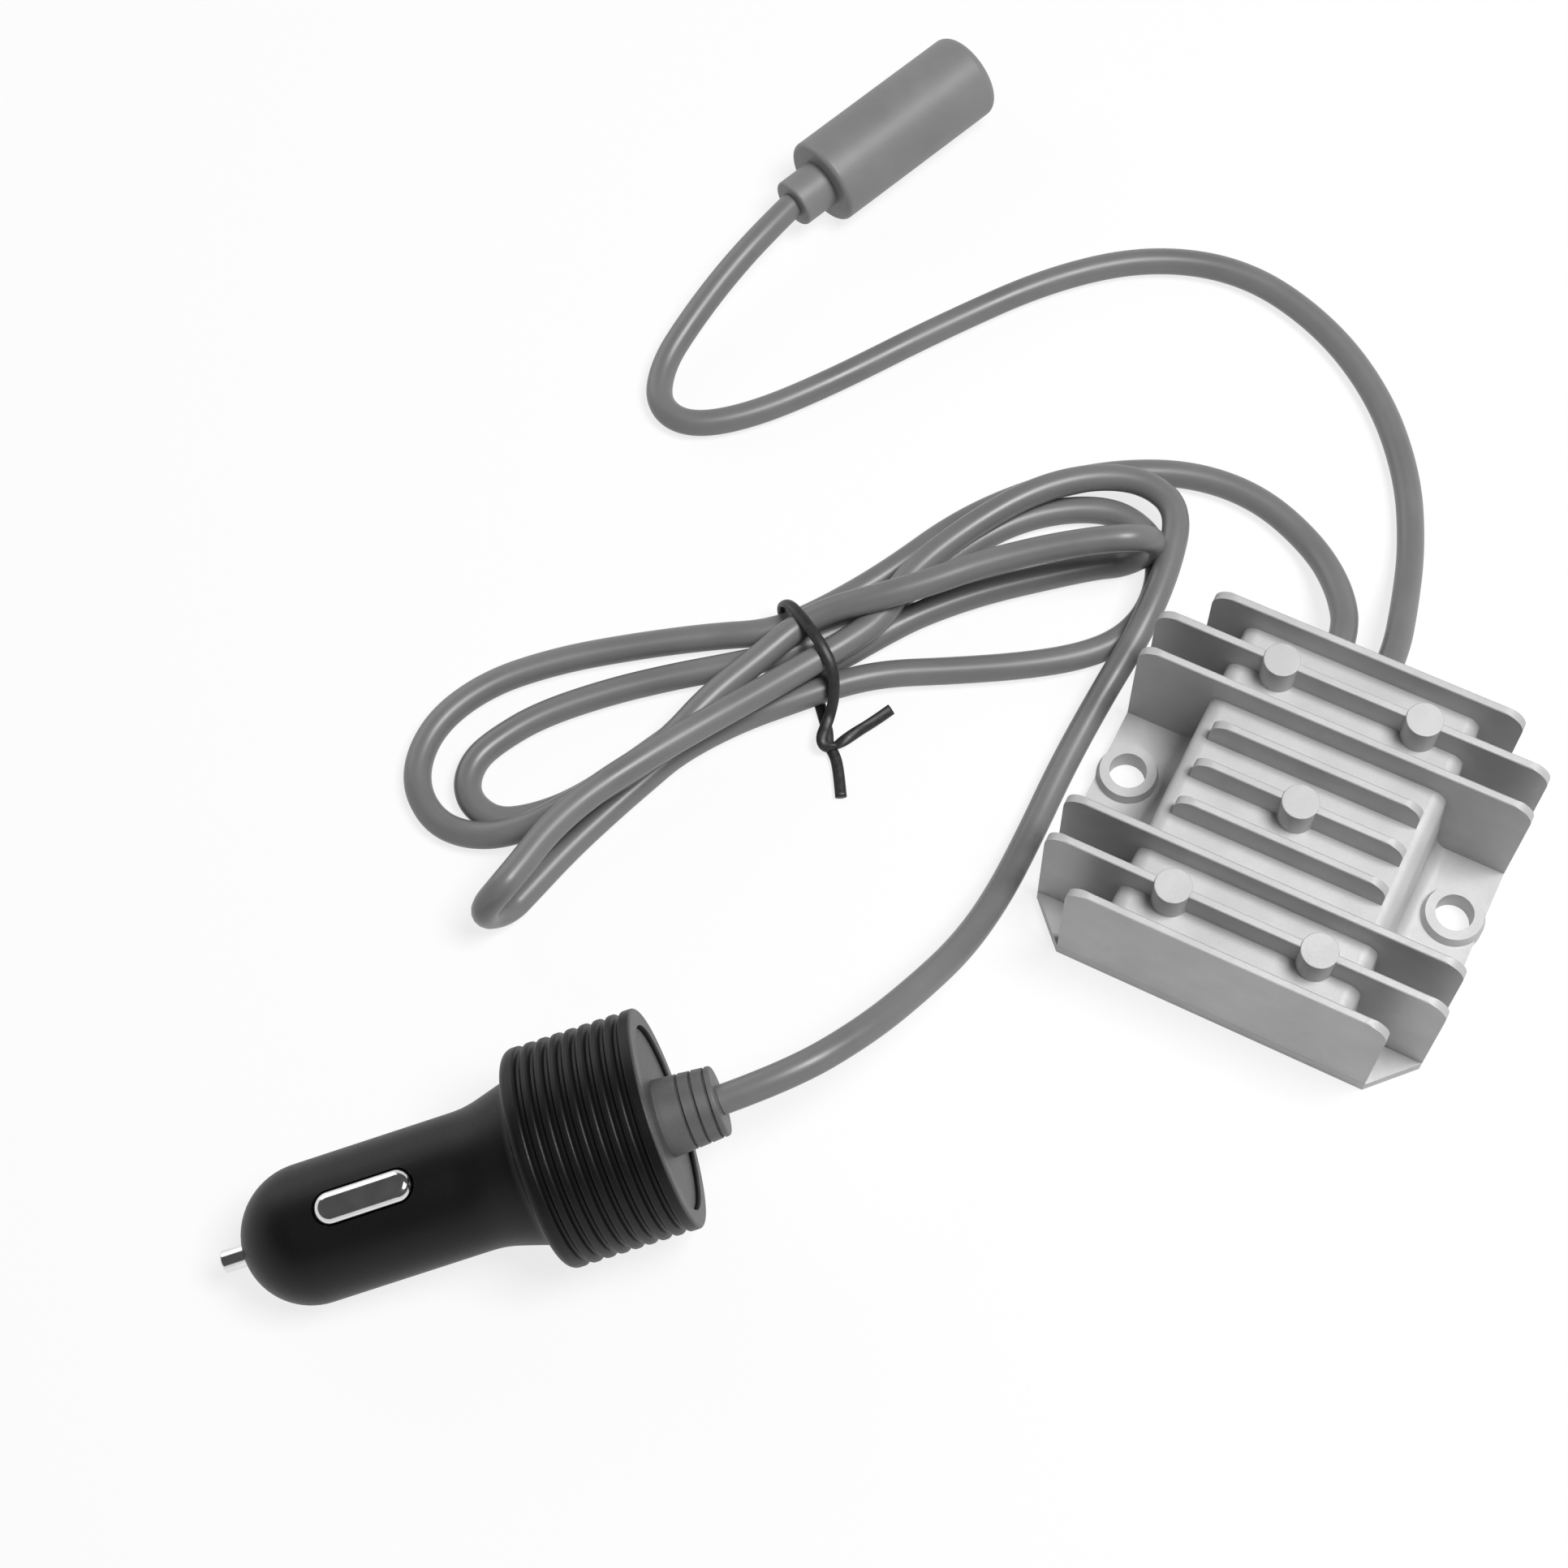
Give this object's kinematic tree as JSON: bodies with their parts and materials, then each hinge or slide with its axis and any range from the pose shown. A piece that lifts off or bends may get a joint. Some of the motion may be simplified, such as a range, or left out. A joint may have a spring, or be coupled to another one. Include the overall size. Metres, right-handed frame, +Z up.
{
  "type": "step-up converter cable",
  "caption": "Finned cast voltage converter with an input lead that ends in a lighter plug and an output lead that ends in a round moulded socket.",
  "frame": {"origin": "under the middle of the housing, on the surface that it lies on", "axes": "+X along the fins, +Y to the side where the leads come out, +Z up"},
  "size_m": [0.1734, 0.2466, 0.0362],
  "materials": {
    "cast_housing": "matte as-cast",
    "grommet": "matte",
    "tie": "satin",
    "lead_jacket": "satin",
    "board": "satin",
    "ferrite": "matte",
    "copper_wire": "satin",
    "capacitor_can": "satin",
    "chip_case": "matte",
    "resin": "satin",
    "plug_plastic": "matte",
    "cap_plastic": "satin",
    "plated_metal": "polished",
    "fuse_glass": "gloss",
    "spring_steel": "satin",
    "terminal_brass": "satin",
    "core_insulation": "satin",
    "socket_rubber": "satin",
    "socket_insulation": "satin"
  },
  "bodies": {
    "converter": {"heatsink_housing": "cast_housing", "input_grommet": "grommet", "output_grommet": "grommet", "twist_tie": "tie", "lead_hank": "lead_jacket", "input_lead": "lead_jacket", "plug_lead": "lead_jacket", "output_lead": "lead_jacket", "circuit_board": "board", "ring_core": "ferrite", "inductor_winding": "copper_wire", "input_capacitor": "capacitor_can", "output_capacitor": "capacitor_can", "switching_transistor": "chip_case", "rectifier_diode": "chip_case", "control_chip": "chip_case", "potting_compound": "resin", "plug_shell": "plug_plastic", "plug_end_cap": "cap_plastic", "plug_strain_relief": "lead_jacket", "tip_spring": "spring_steel", "fuse_terminal": "terminal_brass", "side_spring_upper": "spring_steel", "side_spring_lower": "spring_steel", "live_wire": "core_insulation", "ground_wires": "core_insulation", "socket_body": "socket_rubber", "socket_insulator": "socket_insulation", "socket_sleeve": "plated_metal", "socket_centre_pin": "plated_metal"},
    "tip": {"tip_contact": "plated_metal", "fuse": "fuse_glass"},
    "upper_contact": {"side_contact_upper": "plated_metal"},
    "lower_contact": {"side_contact_lower": "plated_metal"}
  },
  "joints": [
    {"name": "tip_slide", "type": "slide", "parent": "converter", "child": "tip", "axis": [0.7327, 0.6597, 0.1669], "range_m": [0, 0.0025], "stiffness_N_per_m": 800, "springref_m": -0.002, "deforming": ["tip_spring"]},
    {"name": "upper_contact_slide", "type": "slide", "parent": "converter", "child": "upper_contact", "axis": [0.0947, 0.144, -0.985], "range_m": [0, 0.001], "stiffness_N_per_m": 800, "springref_m": -0.001, "deforming": ["side_spring_upper"]},
    {"name": "lower_contact_slide", "type": "slide", "parent": "converter", "child": "lower_contact", "axis": [-0.0947, -0.144, 0.985], "range_m": [0, 0.001], "stiffness_N_per_m": 800, "springref_m": -0.001, "deforming": ["side_spring_lower"]}
  ]
}
